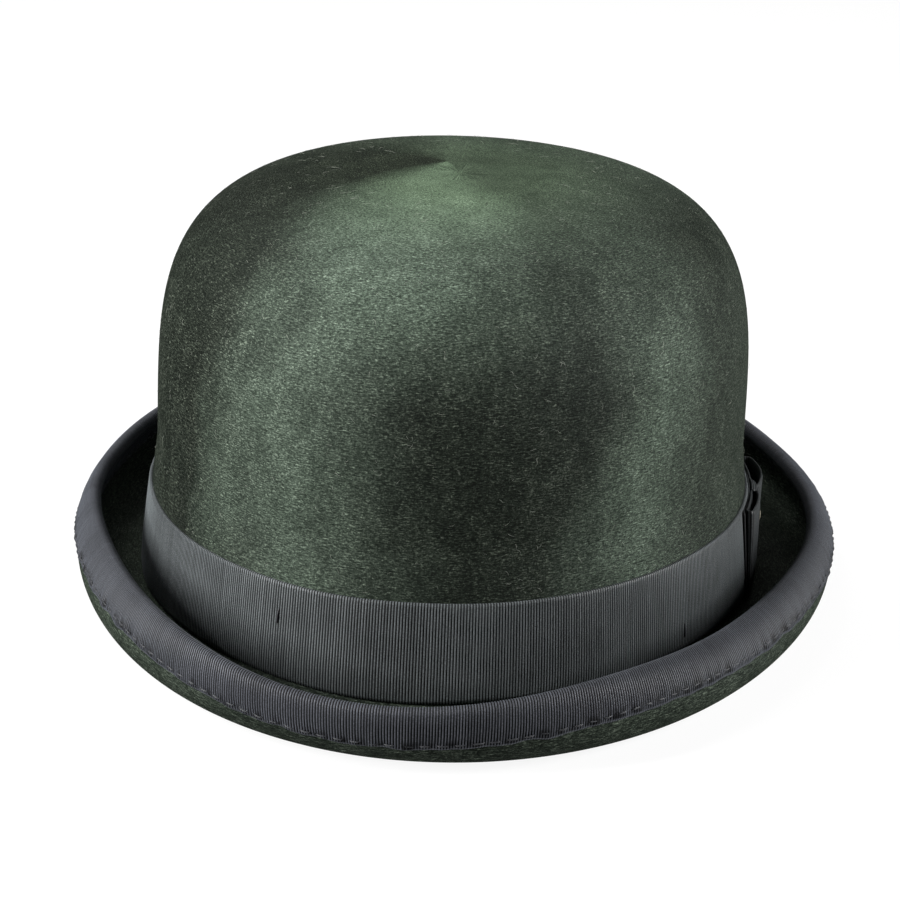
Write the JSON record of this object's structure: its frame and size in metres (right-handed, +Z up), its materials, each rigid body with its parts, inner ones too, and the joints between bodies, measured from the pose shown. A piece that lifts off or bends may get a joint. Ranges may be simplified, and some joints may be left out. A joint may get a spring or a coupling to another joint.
{
  "type": "bowler hat",
  "caption": "Stiff felt bowler hat with a tall round crown, curled ribbon-bound brim, ribbed band with a side bow, leather sweatband and satin lining.",
  "frame": {"origin": "middle of the hat outline, on the plane that the brim rests on", "axes": "+Z up out of the crown, +Y from the front of the hat to the back, +X towards the wearer's left, where the bow is"},
  "size_m": [0.2206, 0.295, 0.12],
  "materials": {
    "felt": "short napped fur felt, matt, dark hemlock green",
    "band_ribbon": "ribbed grosgrain ribbon, charcoal with a soft sheen",
    "binding_ribbon": "ribbed grosgrain binding, bluish charcoal",
    "thread": "fine twisted sewing thread, charcoal",
    "leather": "smooth roan leather, brown",
    "reed": "plain extruded reed",
    "reed_tape": "coated cotton tape, black",
    "satin": "satin lining, grey green",
    "label": "coated paper label, blank"
  },
  "bodies": {
    "root": {"felt_body": "felt", "hat_band": "band_ribbon", "bow_backing": "band_ribbon", "bow_rear_loop": "band_ribbon", "bow_front_loop": "band_ribbon", "bow_knot": "band_ribbon", "bow_tack": "thread", "band_tack_front_right": "thread", "band_tack_front_left": "thread", "band_tack_back_left": "thread", "band_tack_back_right": "thread", "edge_binding": "binding_ribbon", "binding_thread_outer": "thread", "binding_thread_inner": "thread", "sweatband": "leather", "sweatband_reed": "reed", "reed_tape": "reed_tape", "sweatband_thread": "thread", "sweatband_bow_left": "band_ribbon", "sweatband_bow_right": "band_ribbon", "sweatband_bow_knot": "band_ribbon", "lining_side": "satin", "lining_tip": "satin", "lining_piping": "satin", "size_label": "label"}
  },
  "joints": []
}
